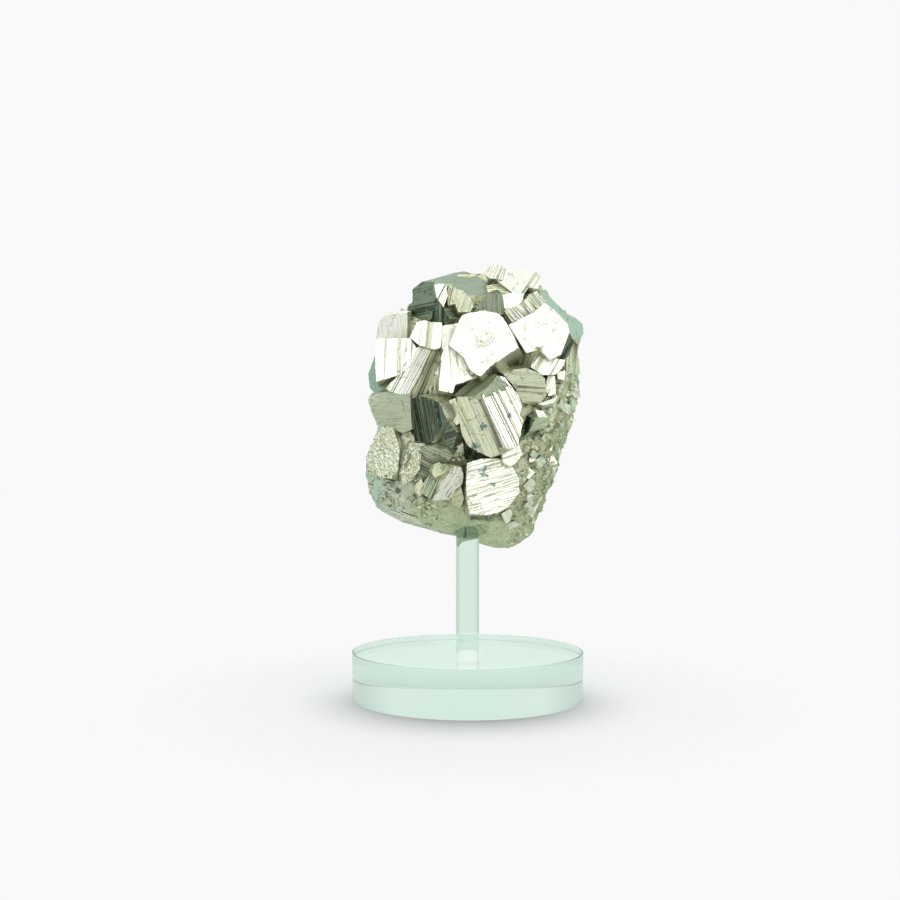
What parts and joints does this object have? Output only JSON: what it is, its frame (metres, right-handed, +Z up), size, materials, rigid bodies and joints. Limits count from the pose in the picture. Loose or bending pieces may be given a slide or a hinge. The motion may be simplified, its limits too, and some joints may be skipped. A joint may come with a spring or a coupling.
{
  "type": "pyrite specimen on display stand",
  "caption": "Cluster of intergrown striated pyrite crystals on massive pyrite, held up by a clear acrylic rod that stands on a thick round clear acrylic base.",
  "frame": {"origin": "centre of the base's underside, on the rod's axis", "axes": "+Z up along the rod, -Y towards the side that the big crystals face, +X to their right as seen from in front"},
  "size_m": [0.1, 0.1, 0.1862],
  "materials": {
    "pyrite": "pale greenish brass, glossy on the crystal faces and matt where massive",
    "clear_acrylic": "polished, clear with a faint mint tint"
  },
  "bodies": {
    "root": {"pyrite_cluster": "pyrite", "acrylic_rod": "clear_acrylic", "acrylic_base": "clear_acrylic"}
  },
  "joints": []
}
